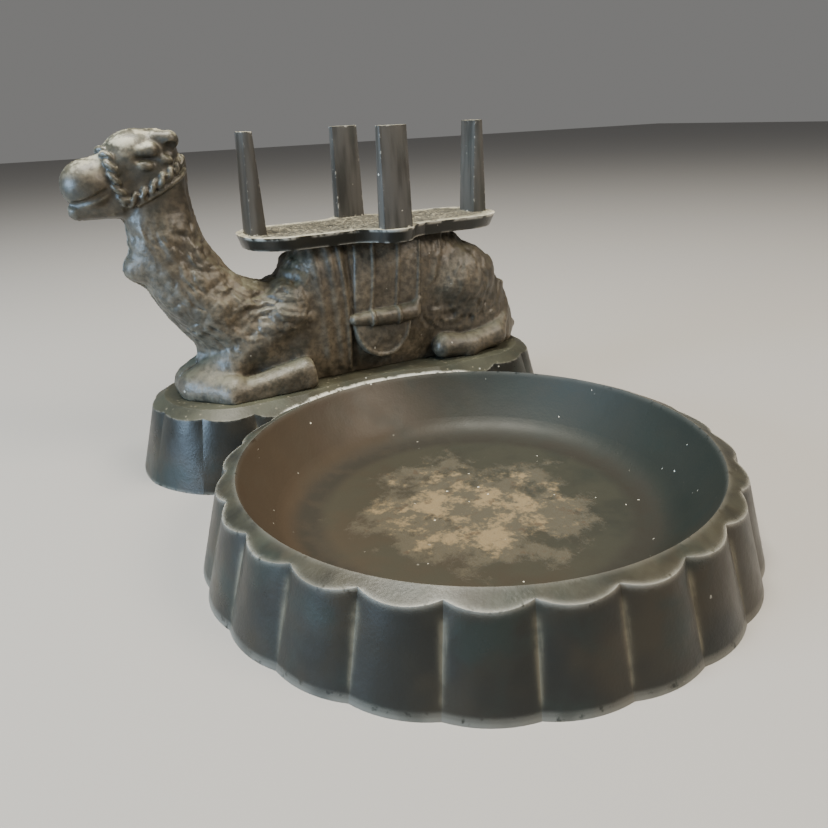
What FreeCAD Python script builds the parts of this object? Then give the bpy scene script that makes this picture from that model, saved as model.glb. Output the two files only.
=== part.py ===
import FreeCAD, Part
import math
import os

# Kneeling-camel ash dish with a four-post cigarette rack.
# Millimetres. +X runs along the camel from head to rump, -Y points at the dish, +Z is up.
# The model is built about the middle of the plinth and then set down with the middle of
# its bounding box footprint on the origin.

# ---- driving dimensions ---------------------------------------------------------------
WALL = 3.0                    # casting wall thickness
FOOT_R = 72.0                 # dish: radius of the flute cusps at the table
SIDE_DRAFT = 0.318            # inward lean of the fluted sides, mm per mm of height
FLUTE_COUNT = 24              # flutes round the dish
FLUTE_PHASE = 8.3             # degrees from +X to the first cusp
FLUTE_SAGITTA = (1.7, 2.7)    # bulge of a flute beyond its chord, at the table and at the rim
LIP_R = 62.1                  # dish: inner edge of the rim
LIP_Z = 23.6
RIM_SLOPE = 0.40              # fall of the rim band, mm per mm outward
FLOOR_R = 44.0                # dish: flat part of the bowl floor
BOWL_FILLET = 12.0            # radius of the curve from the floor into the wall
BOWL_TURN = 52.0              # degrees that the curve turns through
BOWL_BOW = (0.3, -0.2)        # bow of the bowl's wall off a straight line: radius, height
FLOOR_Z = 6.0
DISH_X, DISH_Y = -0.8, -84.7  # dish centre from the plinth centre
HOLLOW_Z = 13.0               # dish underside: top of the hollow behind the flutes
HOLLOW_INNER = (61.6, 12.2)   # inner corner of that top: radius, height
HOLLOW_BEND = (56.6, 6.6)     # point that the hollow's ceiling curves through
HOLLOW_FLAT_R = 46.0          # flat ceiling under the bowl floor

PLINTH_HALF = 68.8            # plinth: half length between cusps at the rim level
PLINTH_W = 25.2               # plinth: half width between cusps at the rim level
CUSP_Z = 22.35                # level of the cusps at the rim, on the dish and the plinth
PLINTH_SAGITTA = (1.3, 2.2)   # bulge of its flutes, at the table and at the rim
END_FLUTES = 5                # flutes round each plinth end
SIDE_FLUTES = 6               # flutes along each plinth side
PAD_W = 22.0                  # half width of the raised pad
PAD_Z = 24.2
PAD_SLOPE = 0.58              # fall of the band round the pad, mm per mm outward
PAD_BAND = 12.0               # width of that band before the flutes trim it
CEILING_Z = 21.0              # underside of the plinth's top
GROOVE_IN = 2.4               # bottom of the groove between dish and pad, out from the lip
GROOVE_RISE = 4.0

TRAY_X = 10.5                 # tray centre, towards the rump from the plinth centre
TRAY_TOP = 72.6
TRAY_THICK = 4.2
TRAY_HALF = 45.8              # half length to the blunt tips
TRAY_W = 16.2                 # half width of the straight sides
TRAY_BULGE = 24.8             # half width over the side bulges
TRAY_DRAFT = 1.4              # inset of the tray's bottom edge
TRAY_TIP = (0.6, 5.5)         # end of the blunt tip: in from the tip, out from the middle line
TRAY_CORNER = (4.6, 3.4)      # middle of the corner's curve: in from the tip, in from the side
TRAY_SIDE_X = (12.5, 32.0)    # straight part of the side, from the tray centre
TRAY_WAIST = (8.2, 2.2)       # middle of the curve into a bulge: along, out from the side
TRAY_SWELL = (5.6, 3.0)       # start of the bulge's own curve: along, in from its peak

POST_END_X = 40.4             # end posts from the tray centre
POST_SIDE_Y = 19.4            # side posts from the tray centre
POST_H = 30.4
POST_FOOT = (10.4, 6.0)       # broad and narrow width at the foot
POST_TOP = (9.8, 3.9)         # the same at the top
POST_BOW = (0.35, 0.5)        # how far the narrow and the broad faces bulge
TENON_R = 1.6
PEG_R = 2.4                   # locating pegs under the tray
PEG_X = 15.0                  # pegs from the tray centre
PEG_LENGTH = 5.5
PEG_GAP = 0.5                 # room below a peg in its hole

CLOTH_X = 8.0                 # middle of the saddle cloth
CLOTH_HALF = 12.0             # half length of the cloth
CLOTH_THICK = 1.0
CLOTH_Z = 42.0                # lower edge of the cloth, with a rolled blanket along it
ROLL_R = 2.9
ROLL_HALF = 11.0              # half length of the rolled blanket's axis
ROLL_Y = 14.3                 # its axis from the median plane
ROLL_Z = 42.6
FLAP_R = 10.5                 # half-round flap hanging below the roll

SCREW_R = 2.0
HEAD_R = 3.5
HEAD_H = 2.2
SLOT_W = 1.0                  # driver slot, as deep as it is wide
CAMEL_SCREW_X = (-32.0, 44.0)
CAMEL_SCREW_Y = 9.0
CAMEL_SCREW_TOP = 36.0        # top of the blind holes in the camel
CAMEL_BOSS = (4.2, 14.0)      # boss round each of them: radius, height
SCREW_GAP = 1.0               # room beyond a camel screw's tip
BASE_SCREW_X = 14.0
BASE_SCREW_Z = 9.0
BASE_SCREW_LENGTH = 12.0
BASE_BORE_Y = (-30.0, 10.0)   # ends of the base screws' bores from the plinth centre
BASE_BOSS = (4.7, 8.0)        # boss behind a base screw's head: radius, depth
BASE_SEAT = 0.4               # flat seat for the head, proud of the sloping web

V = FreeCAD.Vector
UP = V(0, 0, 1)
FAR = 400.0                   # larger than anything in the model
OVER = 1.0                    # blanks and cutters run this far past a face


def box(x0, x1, y0, y1, z0, z1):
    return Part.makeBox(x1 - x0, y1 - y0, z1 - z0, V(x0, y0, z0))


def fuse_all(shapes):
    return shapes[0].multiFuse(shapes[1:]).removeSplitter()


# ---- fluted outlines ------------------------------------------------------------------
def flute_arcs(cusps, sagitta, z):
    """Closed ring of outward arcs, one between each pair of neighbouring cusps."""
    arcs = []
    for (x0, y0), (x1, y1) in zip(cusps, cusps[1:] + cusps[:1]):
        length = math.hypot(x1 - x0, y1 - y0)
        out_x, out_y = (y1 - y0) / length, -(x1 - x0) / length
        mid = V((x0 + x1) / 2 + out_x * sagitta, (y0 + y1) / 2 + out_y * sagitta, z)
        arcs.append(Part.Arc(V(x0, y0, z), mid, V(x1, y1, z)).toShape())
    return arcs


def dish_cusps(radius):
    step = 360.0 / FLUTE_COUNT
    turns = [math.radians(FLUTE_PHASE + step * i) for i in range(FLUTE_COUNT)]
    return [(DISH_X + radius * math.cos(t), DISH_Y + radius * math.sin(t)) for t in turns]


def plinth_cusps(half_width):
    """Cusps round a stadium whose end circles keep their centres as it grows."""
    centre = PLINTH_HALF - PLINTH_W
    points = []
    for side in (1, -1):
        for i in range(END_FLUTES):
            t = math.radians(-90 + 180.0 * i / END_FLUTES)
            points.append((side * (centre + half_width * math.cos(t)),
                           side * half_width * math.sin(t)))
        for i in range(SIDE_FLUTES):
            along = centre - 2 * centre * i / SIDE_FLUTES
            points.append((side * along, side * half_width))
    return points


def fluted_block(cusps, rim_size, rim_level, sagitta, top):
    """Drafted fluted block from the table up to `top`; `rim_size` holds at `rim_level`."""
    foot = flute_arcs(cusps(rim_size + rim_level * SIDE_DRAFT), sagitta[0], 0)
    head = flute_arcs(cusps(rim_size - (top - rim_level) * SIDE_DRAFT), sagitta[1], top)
    faces = [Part.makeRuledSurface(low, high) for low, high in zip(foot, head)]
    faces += [Part.Face(Part.Wire(foot)), Part.Face(Part.Wire(head))]
    shell = Part.makeShell(faces)
    shell.sewShape()
    return Part.makeSolid(shell)


def turned(points, arcs=()):
    """Solid of revolution about the dish axis from a closed (radius, height) outline.
    `arcs` maps the index of a segment to the point it curves through."""
    bends = dict(arcs)
    edges = []
    for i, (r0, z0) in enumerate(points):
        r1, z1 = points[(i + 1) % len(points)]
        start, end = V(r0, 0, z0), V(r1, 0, z1)
        if i in bends:
            edges.append(Part.Arc(start, V(bends[i][0], 0, bends[i][1]), end).toShape())
        else:
            edges.append(Part.makeLine(start, end))
    solid = Part.Face(Part.Wire(edges)).revolve(V(0, 0, 0), UP, 360)
    solid.translate(V(DISH_X, DISH_Y, 0))
    return solid


# ---- dish -----------------------------------------------------------------------------
def dish_filled():
    """The dish's outer form under its rim band, with no bowl and no hollow."""
    reach = FOOT_R + 2 * FLUTE_SAGITTA[1]
    rim = turned([(0, 0), (reach, 0), (reach, LIP_Z - RIM_SLOPE * (reach - LIP_R)),
                  (LIP_R, LIP_Z), (0, LIP_Z)])
    block = fluted_block(dish_cusps, FOOT_R - CUSP_Z * SIDE_DRAFT, CUSP_Z,
                         FLUTE_SAGITTA, LIP_Z + OVER)
    return block.common(rim)


def base_screw_point(sign, y):
    return V(DISH_X + sign * BASE_SCREW_X, y, BASE_SCREW_Z)


def base_screw_bore(sign):
    start, end = BASE_BORE_Y
    return Part.makeCylinder(SCREW_R, end - start, base_screw_point(sign, start), V(0, 1, 0))


def fillet_point(turn):
    """Point on the curve between the bowl's floor and wall, `turn` degrees up it."""
    t = math.radians(turn)
    return (FLOOR_R + BOWL_FILLET * math.sin(t), FLOOR_Z + BOWL_FILLET * (1 - math.cos(t)))


def make_dish(filled):
    wall_foot = fillet_point(BOWL_TURN)
    wall_middle = ((wall_foot[0] + LIP_R) / 2 + BOWL_BOW[0],
                   (wall_foot[1] + LIP_Z) / 2 + BOWL_BOW[1])
    bowl = turned([(0, FLOOR_Z), (FLOOR_R, FLOOR_Z), wall_foot, (LIP_R, LIP_Z),
                   (LIP_R, LIP_Z + OVER), (0, LIP_Z + OVER)],
                  {1: fillet_point(BOWL_TURN / 2), 2: wall_middle})
    inside_r = FOOT_R - WALL
    under_floor = FLOOR_Z - WALL
    hollow = turned([(0, 0), (inside_r, 0), (inside_r - HOLLOW_Z * SIDE_DRAFT, HOLLOW_Z),
                     HOLLOW_INNER, (HOLLOW_FLAT_R, under_floor), (0, under_floor)],
                    {3: HOLLOW_BEND})
    dish = filled.cut(bowl).cut(hollow)
    for sign in (-1, 1):
        dish = dish.cut(base_screw_bore(sign))
    return dish


# ---- plinth ---------------------------------------------------------------------------
def stadium(half_width, z):
    centre = PLINTH_HALF - PLINTH_W
    ends = [V(-centre, -half_width, z), V(centre, -half_width, z),
            V(centre, half_width, z), V(-centre, half_width, z)]
    tips = [V(centre + half_width, 0, z), V(-centre - half_width, 0, z)]
    return Part.Wire([Part.makeLine(ends[0], ends[1]),
                      Part.Arc(ends[1], tips[0], ends[2]).toShape(),
                      Part.makeLine(ends[2], ends[3]),
                      Part.Arc(ends[3], tips[1], ends[0]).toShape()])


def make_plinth(filled_dish):
    skirt_w = PAD_W + PAD_BAND
    skirt_z = PAD_Z - PAD_SLOPE * PAD_BAND
    band = Part.makeLoft([stadium(skirt_w, skirt_z), stadium(PAD_W, PAD_Z)], True, True)
    under = Part.Face(stadium(skirt_w, 0)).extrude(V(0, 0, skirt_z))
    block = fluted_block(plinth_cusps, PLINTH_W, CUSP_Z, PLINTH_SAGITTA, PAD_Z + OVER)
    body = block.common(fuse_all([band, under]))

    foot_w = PLINTH_W + CUSP_Z * SIDE_DRAFT - WALL
    lean = CEILING_Z * SIDE_DRAFT
    cavity = Part.makeLoft([stadium(foot_w, 0), stadium(foot_w - lean, CEILING_Z)], True, True)
    web_foot = FOOT_R + FLUTE_SAGITTA[1] + WALL
    web = Part.makeCone(web_foot, web_foot - lean, CEILING_Z, V(DISH_X, DISH_Y, 0))
    body = body.cut(cavity.cut(web))

    # seats for the heads of the screws that reach into the back of the dish
    for sign in (-1, 1):
        back = base_screw_point(sign, base_seat_y() - BASE_BOSS[1])
        body = body.fuse(Part.makeCylinder(*BASE_BOSS, back, V(0, 1, 0)))

    # the dish stands in the plinth, and its rim keeps a sloping groove clear of the pad
    groove_r = LIP_R + GROOVE_IN
    groove_z = LIP_Z - RIM_SLOPE * GROOVE_IN
    groove = Part.makeCone(groove_r, groove_r + GROOVE_RISE / PAD_SLOPE, GROOVE_RISE,
                           V(DISH_X, DISH_Y, groove_z))
    body = body.cut(filled_dish).cut(groove)

    for sign in (-1, 1):
        body = body.cut(base_screw_bore(sign))
    for x, y in camel_screw_places():
        body = body.cut(Part.makeCylinder(SCREW_R, FAR, V(x, y, 0), UP))
    return body.removeSplitter()


def base_seat_y():
    web_r = FOOT_R + FLUTE_SAGITTA[1] + WALL - BASE_SCREW_Z * SIDE_DRAFT
    return DISH_Y + web_r + BASE_SEAT


def camel_screw_places():
    return [(x, side * CAMEL_SCREW_Y) for x in CAMEL_SCREW_X for side in (-1, 1)]


# ---- camel ----------------------------------------------------------------------------
# Stations along the trunk: x, top of the back, bottom, half width.
TRUNK = [(-46.0, 50.0, 24.0, 10.0), (-36.0, 55.5, 18.0, 13.6), (-28.0, 57.0, 17.0, 14.4),
         (-21.0, 63.5, 16.0, 14.4), (-14.0, 72.0, 16.0, 14.0), (2.0, 76.5, 16.0, 13.8),
         (18.0, 76.5, 16.0, 13.8), (32.0, 72.6, 16.0, 14.2), (42.0, 65.6, 16.0, 14.4),
         (51.0, 57.4, 17.0, 13.4), (58.0, 48.8, 18.0, 11.0), (62.0, 42.0, 19.0, 8.4),
         (65.0, 33.5, 22.0, 4.8)]

# Stations up the neck: centre x, centre z, fore-and-aft radius, half width, lean in degrees
# of the cross-section from level.
NECK = [(-38.0, 43.0, 13.4, 13.0, -50.0), (-46.0, 49.6, 12.0, 11.8, -44.0),
        (-51.0, 56.0, 11.8, 10.4, -34.0), (-54.8, 63.5, 11.6, 9.0, -22.0),
        (-57.2, 71.0, 10.7, 7.9, -10.0), (-58.2, 78.0, 10.0, 7.1, -3.0),
        (-58.2, 85.0, 9.4, 6.7, 0.0), (-58.6, 92.0, 7.8, 6.2, 0.0)]

# Rounded masses of the head: centre x, y, z and radii.
MUZZLE = (-75.3, 0.0, 91.0, 8.4, 6.7, 6.9)
JAW = (-72.6, 0.0, 86.0, 9.0, 4.9, 4.7)
FACE = (-68.5, 0.0, 93.6, 9.4, 6.6, 6.9)
SKULL = (-61.8, 0.0, 97.6, 9.6, 7.3, 8.2)
POLL = (-56.4, 0.0, 97.6, 6.8, 6.4, 7.4)
DEWLAP = (-66.6, 0.0, 66.8, 4.8, 3.8, 4.9)

BEHIND_NECK_X = -40.0         # the tray's seat is cut from here to the rump
CAVITY_X = (-46.0, 60.0)      # ends of the hollow in the body


def ellipse_wire(centre, radius_a, radius_b, axis_a, normal):
    """Ellipse with radius_a along axis_a and radius_b across it, in the plane of `normal`."""
    axis_b = normal.cross(axis_a)
    big, small, along = radius_a, radius_b, axis_a
    if radius_b > radius_a:
        big, small, along = radius_b, radius_a, axis_b
    curve = Part.Ellipse(centre + along * big, centre + normal.cross(along) * small, centre)
    return Part.Wire([curve.toShape()])


def trunk(shrink):
    wires = []
    for x, top, bottom, half in TRUNK:
        middle = (top + bottom) / 2
        tall = (top - bottom) / 2 - shrink
        wires.append(ellipse_wire(V(x, 0, middle), tall, half - shrink, UP, V(1, 0, 0)))
    return Part.makeLoft(wires, True)


def neck(shrink, stations):
    wires = []
    for x, z, fore, half, lean in stations:
        angle = math.radians(lean)
        fore_axis = V(math.cos(angle), 0, -math.sin(angle))
        normal = V(math.sin(angle), 0, math.cos(angle))
        wires.append(ellipse_wire(V(x, 0, z), fore - shrink, half - shrink, fore_axis, normal))
    return Part.makeLoft(wires, True)


def ellipsoid(x, y, z, rx, ry, rz):
    ball = Part.makeSphere(1.0)
    stretch = FreeCAD.Matrix(rx, 0, 0, x, 0, ry, 0, y, 0, 0, rz, z, 0, 0, 0, 1)
    return ball.transformGeometry(stretch)


def limb(start, start_r, end, end_r):
    """Two balls joined by the cone that touches both."""
    axis = end.sub(start)
    length = axis.Length
    axis.normalize()
    lean = (start_r - end_r) / length
    spread = math.sqrt(1 - lean * lean)
    base = start + axis * (start_r * lean)
    reach = length - start_r * lean + end_r * lean
    if start_r == end_r:
        shaft = Part.makeCylinder(start_r, reach, base, axis)
    else:
        shaft = Part.makeCone(start_r * spread, end_r * spread, reach, base, axis)
    return fuse_all([Part.makeSphere(start_r, start), shaft, Part.makeSphere(end_r, end)])


# Limbs of one side, folded flat on the pad: start, its radius, end, its radius.
LIMBS = [
    (V(-54.8, -5.2, 28.3), 5.5, V(-42.0, -6.8, 33.6), 6.9),       # forearm, knee to elbow
    (V(-54.2, -6.0, 27.6), 5.6, V(-46.0, -13.2, 26.8), 5.4),      # round the knee
    (V(-46.0, -13.2, 27.0), 5.2, V(-24.6, -15.0, 28.6), 4.8),     # foreleg, lying back
    (V(-43.0, -6.5, 38.0), 7.0, V(-24.0, -7.5, 49.0), 8.2),       # shoulder
    (V(24.0, -13.2, 29.2), 4.8, V(38.0, -14.0, 28.0), 4.0),       # hind foot
    (V(38.0, -14.0, 28.0), 4.0, V(51.0, -12.0, 29.6), 4.9),       # hock
]
HAUNCH = (40.0, -6.2, 50.0, 14.4, 10.0, 13.0)


def saddle_cloth():
    """Cloth over the near flank, the rolled blanket along its foot and the flap below."""
    proud = trunk(-CLOTH_THICK)
    cloth = proud.common(box(CLOTH_X - CLOTH_HALF, CLOTH_X + CLOTH_HALF, -FAR, 0, CLOTH_Z, FAR))
    flap = Part.makeCylinder(FLAP_R, FAR, V(CLOTH_X, -FAR, CLOTH_Z), V(0, 1, 0))
    flap = proud.common(flap).common(box(-FAR, FAR, -FAR, 0, -FAR, CLOTH_Z))
    start, end = [V(CLOTH_X + side * ROLL_HALF, -ROLL_Y, ROLL_Z) for side in (-1, 1)]
    return [cloth, flap, limb(start, ROLL_R, end, ROLL_R)]


def near_side_solid():
    """The near half of the figure, solid and untrimmed at the pad and the tray."""
    parts = [trunk(0), neck(0, NECK)] + saddle_cloth()
    parts += [ellipsoid(*mass) for mass in (MUZZLE, JAW, FACE, SKULL, POLL, DEWLAP, HAUNCH)]
    parts += [limb(*one) for one in LIMBS]
    keep = box(-FAR, FAR, -FAR, 0, PAD_Z, FAR)
    return fuse_all([piece.common(keep) for piece in parts])


def make_near_half():
    half = near_side_solid()
    tray_seat = TRAY_TOP - TRAY_THICK
    half = half.cut(box(BEHIND_NECK_X, FAR, -FAR, FAR, tray_seat, FAR))
    inside = box(*CAVITY_X, -FAR, FAR, PAD_Z - OVER, tray_seat - WALL)
    half = half.cut(trunk(WALL).common(inside)).cut(neck(WALL, NECK[1:]))
    bosses = []
    for x in CAMEL_SCREW_X:
        bosses.append(Part.makeCylinder(*CAMEL_BOSS, V(x, -CAMEL_SCREW_Y, PAD_Z), UP))
    half = fuse_all([half] + bosses)
    for x in CAMEL_SCREW_X:
        half = half.cut(Part.makeCylinder(SCREW_R, CAMEL_SCREW_TOP - PAD_Z,
                                          V(x, -CAMEL_SCREW_Y, PAD_Z), UP))
    for x in tray_peg_places():
        hole = Part.makeCylinder(PEG_R, FAR, V(x, 0, tray_seat - PEG_LENGTH - PEG_GAP), UP)
        half = half.cut(hole)
    return half


# ---- tray and posts -------------------------------------------------------------------
def tray_peg_places():
    return [TRAY_X - PEG_X, TRAY_X + PEG_X]


def tray_outline(inset, z):
    """Long tray with rounded corners and a round bulge halfway along each side."""
    half, wide, bulge = TRAY_HALF - inset, TRAY_W - inset, TRAY_BULGE - inset
    swell = (TRAY_SWELL[0], bulge - TRAY_SWELL[1])
    waist = (TRAY_WAIST[0], wide + TRAY_WAIST[1])
    side_start, side_end = [(x, wide) for x in TRAY_SIDE_X]
    corner = (half - TRAY_CORNER[0], wide - TRAY_CORNER[1])
    tip = (half - TRAY_TIP[0], TRAY_TIP[1])

    # each quarter runs swell, side, tip or back again, then curves across a middle line
    path = []
    for sx, sy, way, across in ((1, -1, 1, (half, 0)), (1, 1, -1, (0, bulge)),
                                (-1, 1, 1, (-half, 0)), (-1, -1, -1, (0, -bulge))):
        stops = [(sx * x, sy * y) for x, y in (swell, side_start, side_end, tip)]
        bends = [(sx * waist[0], sy * waist[1]), None, (sx * corner[0], sy * corner[1])]
        path += zip(stops[::way], bends[::way] + [across])

    edges = []
    for i, ((x0, y0), bend) in enumerate(path):
        x1, y1 = path[(i + 1) % len(path)][0]
        start, end = V(TRAY_X + x0, y0, z), V(TRAY_X + x1, y1, z)
        if bend:
            edges.append(Part.Arc(start, V(TRAY_X + bend[0], bend[1], z), end).toShape())
        else:
            edges.append(Part.makeLine(start, end))
    return Part.Wire(edges)


POSTS = {
    "post_neck_end": (-POST_END_X, 0.0, 90.0),
    "post_rump_end": (POST_END_X, 0.0, 90.0),
    "post_near_side": (0.0, -POST_SIDE_Y, 0.0),
    "post_far_side": (0.0, POST_SIDE_Y, 0.0),
}


def make_tray():
    bottom = TRAY_TOP - TRAY_THICK
    outlines = [tray_outline(TRAY_DRAFT, bottom), tray_outline(0.0, TRAY_TOP)]
    tray = Part.makeLoft(outlines, True, True)
    for x in tray_peg_places():
        foot = V(x, 0, bottom - PEG_LENGTH)
        tray = tray.fuse(Part.makeCylinder(PEG_R, PEG_LENGTH + OVER, foot, UP))
    for x, y, turn in POSTS.values():
        hole = Part.makeCylinder(TENON_R, FAR, V(TRAY_X + x, y, 0), UP)
        tray = tray.cut(hole)
    return tray.removeSplitter()


def post_section(size, z):
    """Oblong with bulged broad faces and bulged narrow ends."""
    hx, hy = size[0] / 2, size[1] / 2
    corner_x, corner_y = hx - POST_BOW[0], hy - POST_BOW[1]
    corners = [(-corner_x, -corner_y), (corner_x, -corner_y),
               (corner_x, corner_y), (-corner_x, corner_y)]
    vias = [(0, -hy), (hx, 0), (0, hy), (-hx, 0)]
    arcs = []
    for i, (x0, y0) in enumerate(corners):
        x1, y1 = corners[(i + 1) % 4]
        via = V(vias[i][0], vias[i][1], z)
        arcs.append(Part.Arc(V(x0, y0, z), via, V(x1, y1, z)).toShape())
    return Part.Wire(arcs)


def make_post(x, y, turn):
    post = Part.makeLoft([post_section(POST_FOOT, 0), post_section(POST_TOP, POST_H)], True, True)
    tenon = Part.makeCylinder(TENON_R, TRAY_THICK + OVER, V(0, 0, -TRAY_THICK), UP)
    post = post.fuse(tenon).removeSplitter()
    post.rotate(V(0, 0, 0), UP, turn)
    post.translate(V(TRAY_X + x, y, TRAY_TOP))
    return post


# ---- screws ---------------------------------------------------------------------------
def pan_screw(seat, direction, length):
    """Slotted screw: shank from `seat` along `direction`, head behind the seat."""
    head = Part.makeCylinder(HEAD_R, HEAD_H, seat - direction * HEAD_H, direction)
    shank = Part.makeCylinder(SCREW_R, length, seat, direction)
    slot = box(-HEAD_R, HEAD_R, -SLOT_W / 2, SLOT_W / 2, -HEAD_H, SLOT_W - HEAD_H)
    slot.Placement = FreeCAD.Placement(seat, FreeCAD.Rotation(UP, direction))
    return head.fuse(shank).cut(slot)


def make_camel_screws():
    length = CAMEL_SCREW_TOP - CEILING_Z - SCREW_GAP
    return [pan_screw(V(x, y, CEILING_Z), UP, length) for x, y in camel_screw_places()]


def make_base_screws():
    screws = []
    for sign in (-1, 1):
        seat = base_screw_point(sign, base_seat_y())
        screws.append(pan_screw(seat, V(0, -1, 0), BASE_SCREW_LENGTH))
    return screws


# ---- assembly -------------------------------------------------------------------------
def build():
    filled = dish_filled()
    near = make_near_half()
    nodes = {
        "dish": make_dish(filled),
        "plinth": make_plinth(filled),
        "camel_near_half": near,
        "camel_far_half": near.mirror(V(0, 0, 0), V(0, 1, 0)),
        "saddle_tray": make_tray(),
        "camel_screws": Part.makeCompound(make_camel_screws()),
        "base_screws": Part.makeCompound(make_base_screws()),
    }
    for name, (x, y, turn) in POSTS.items():
        nodes[name] = make_post(x, y, turn)
    return nodes


def main():
    nodes = build()
    whole = Part.makeCompound(list(nodes.values())).optimalBoundingBox(False, False)
    shift = V(-whole.Center.x, -whole.Center.y, -whole.ZMin)
    os.makedirs("parts", exist_ok=True)
    for name, shape in nodes.items():
        shape.translate(shift)
        shape.exportStep("parts/%s.step" % name)


main()
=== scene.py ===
import math

import bpy
import numpy as np
import openvdb
from mathutils import Matrix, Vector


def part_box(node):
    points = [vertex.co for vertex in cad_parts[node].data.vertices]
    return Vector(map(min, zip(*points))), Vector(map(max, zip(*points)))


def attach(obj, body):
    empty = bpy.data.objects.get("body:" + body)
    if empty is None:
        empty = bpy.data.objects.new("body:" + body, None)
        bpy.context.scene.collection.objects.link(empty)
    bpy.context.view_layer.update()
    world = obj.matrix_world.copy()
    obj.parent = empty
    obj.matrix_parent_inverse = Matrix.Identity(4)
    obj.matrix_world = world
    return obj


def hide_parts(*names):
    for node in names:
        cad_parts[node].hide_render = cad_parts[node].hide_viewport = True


# A kneeling-camel ash dish with a four-post rack, cast and painted black.
# The castings come from the CAD. This script gives them their paint, rounds their edges and
# models the camel's hair, halter, saddle cloth and folds as a finer skin over its CAD halves.
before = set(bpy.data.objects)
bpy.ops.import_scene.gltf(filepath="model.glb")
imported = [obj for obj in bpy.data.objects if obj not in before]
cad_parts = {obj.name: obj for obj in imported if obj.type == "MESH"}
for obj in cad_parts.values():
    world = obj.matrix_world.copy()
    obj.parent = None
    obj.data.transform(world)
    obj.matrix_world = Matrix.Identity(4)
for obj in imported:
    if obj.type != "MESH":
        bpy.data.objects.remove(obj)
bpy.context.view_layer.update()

MM = 0.001
FINE = 0.38        # mesh step of the camel's skin, mm

# ---- the figure's own frame: millimetres about the middle of the plinth ------------------
TRAY_X = 10.5                             # tray centre from the plinth centre
PAD_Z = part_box("camel_near_half")[0].z / MM
SEAT_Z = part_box("post_near_side")[0].z / MM
tray_low, tray_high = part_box("saddle_tray")
ORIGIN = Vector(((tray_low.x + tray_high.x) / 2 - TRAY_X * MM, (tray_low.y + tray_high.y) / 2, 0))
dish_low, dish_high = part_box("dish")
DISH = Vector(((dish_low.x + dish_high.x) / 2, (dish_low.y + dish_high.y) / 2, 0))

# Stations of the neck: centre x, centre z, fore-and-aft radius, half width.
NECK = [(-57.8, 93.0, 8.2, 6.5), (-58.3, 84.5, 9.3, 6.7), (-58.0, 77.0, 10.2, 7.3),
        (-56.5, 69.5, 11.0, 8.3), (-53.4, 62.0, 11.8, 9.7), (-48.9, 54.8, 12.2, 11.0),
        (-43.2, 48.5, 13.0, 12.2), (-36.5, 44.0, 13.8, 12.8)]

# Stations of the trunk: x, top, bottom, half width.
TRUNK = [(-44, 49, 22, 10.0), (-36, 55.2, 18, 12.2), (-30, 55.9, 16, 12.8), (-25, 58.4, 16, 13.2),
         (-21, 63.2, 16, 13.6), (-17, 69.2, 16, 13.8), (-10, 74.0, 16, 13.8), (5, 77.0, 16, 13.8),
         (20, 76.5, 16, 13.8), (32, 72.8, 16, 14.0), (42, 65.6, 16, 14.2), (50, 58.4, 16, 13.6),
         (56, 51.6, 17, 12.2), (60, 46.0, 18, 10.4), (63, 39.8, 20, 7.8), (65, 33.5, 22, 4.8)]

# The hair flows in arcs round this x and z, down the neck and up again to the withers.
SWIRL = (-30.0, 77.0)

# Routes of the halter, laid on the skin of the near side: points, radius, length of a twist.
HALTER = (
    ([(-69.8, 0, 98.6), (-69.6, -3.8, 97.8), (-69.5, -6.0, 94.8), (-69.0, -6.9, 90.6),
      (-68.0, -6.4, 87.6), (-66.4, -6.0, 85.4)], 1.6, 6.4),
    ([(-67.2, -5.2, 85.2), (-61.9, -7.4, 88.1), (-55.8, -7.4, 91.9), (-50.6, -5.0, 95.3),
      (-48.6, -2.4, 96.6), (-48.2, 0, 97.0)], 1.6, 6.4),
)
CHEEK_STRAP = [(-64.4, -6.2, 85.0), (-57.8, -7.0, 88.2), (-51.7, -5.6, 91.4),
               (-48.8, -2.6, 93.2), (-48.2, 0, 93.8)]
MANE = [(-49.9, 0, 95.5), (-50.4, 0, 87.5), (-49.9, 0, 81.5), (-48.8, 0, 75.0), (-47.1, 0, 69.4),
        (-44.8, 0, 64.2), (-41.4, 0, 59.7), (-37.5, 0, 56.4), (-32.9, 0, 54.6)]
TAIL = [(56.6, -8.0, 47.0), (55.2, -9.4, 44.0), (53.2, -10.9, 40.0), (51.8, -11.8, 35.0)]
MOUTH = [(-84.0, -0.5, 86.6), (-81.2, -2.6, 86.1), (-76.7, -5.6, 87.1), (-71.8, -6.4, 89.3)]

FOLDS = ((-14.7, -12.9, 1.5), (-9.8, -8.2, 1.5), (-6.3, -5.4, 0.9))    # top x, foot x, width
CLOTH = (-1.2, 22.8)                      # ends of the saddle cloth where it meets the tray
CLOTH_STRAPS = (5.2, 14.3, 22.2)
CLOTH_TOP_Z = 90.0                        # above the tray, which cuts the cloth off
CLOTH_FOOT_Z = 43.0
CLOTH_LEAN = 2.6 / 19                     # the cloth hangs a little towards the neck
FLAP = (6.1, 41.3, 10.4)                  # x, z and radius of the half-round flap

SQUARENESS = 2.3                          # power of the trunk's section; 2 is an ellipse
SHAGGY_END_X = -17.5                      # the long hair stops here, behind the shoulder
SHAGGY_TOP_Z = 79.0                       # and here, below the halter
SEAM_RIDGE = 0.3                          # height of the parting line
FIELD_REACH = 3.0                         # distances are kept up to this far from the skin


# ---- solid forms as distance fields --------------------------------------------------------
def smin(a, b, k):
    """The nearer of two surfaces, with a fillet of size k where they meet."""
    h = np.clip(0.5 + 0.5 * (b - a) / k, 0, 1)
    return b + (a - b) * h - k * h * (1 - h)


def smax(a, b, k):
    return -smin(-a, -b, k)


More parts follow.
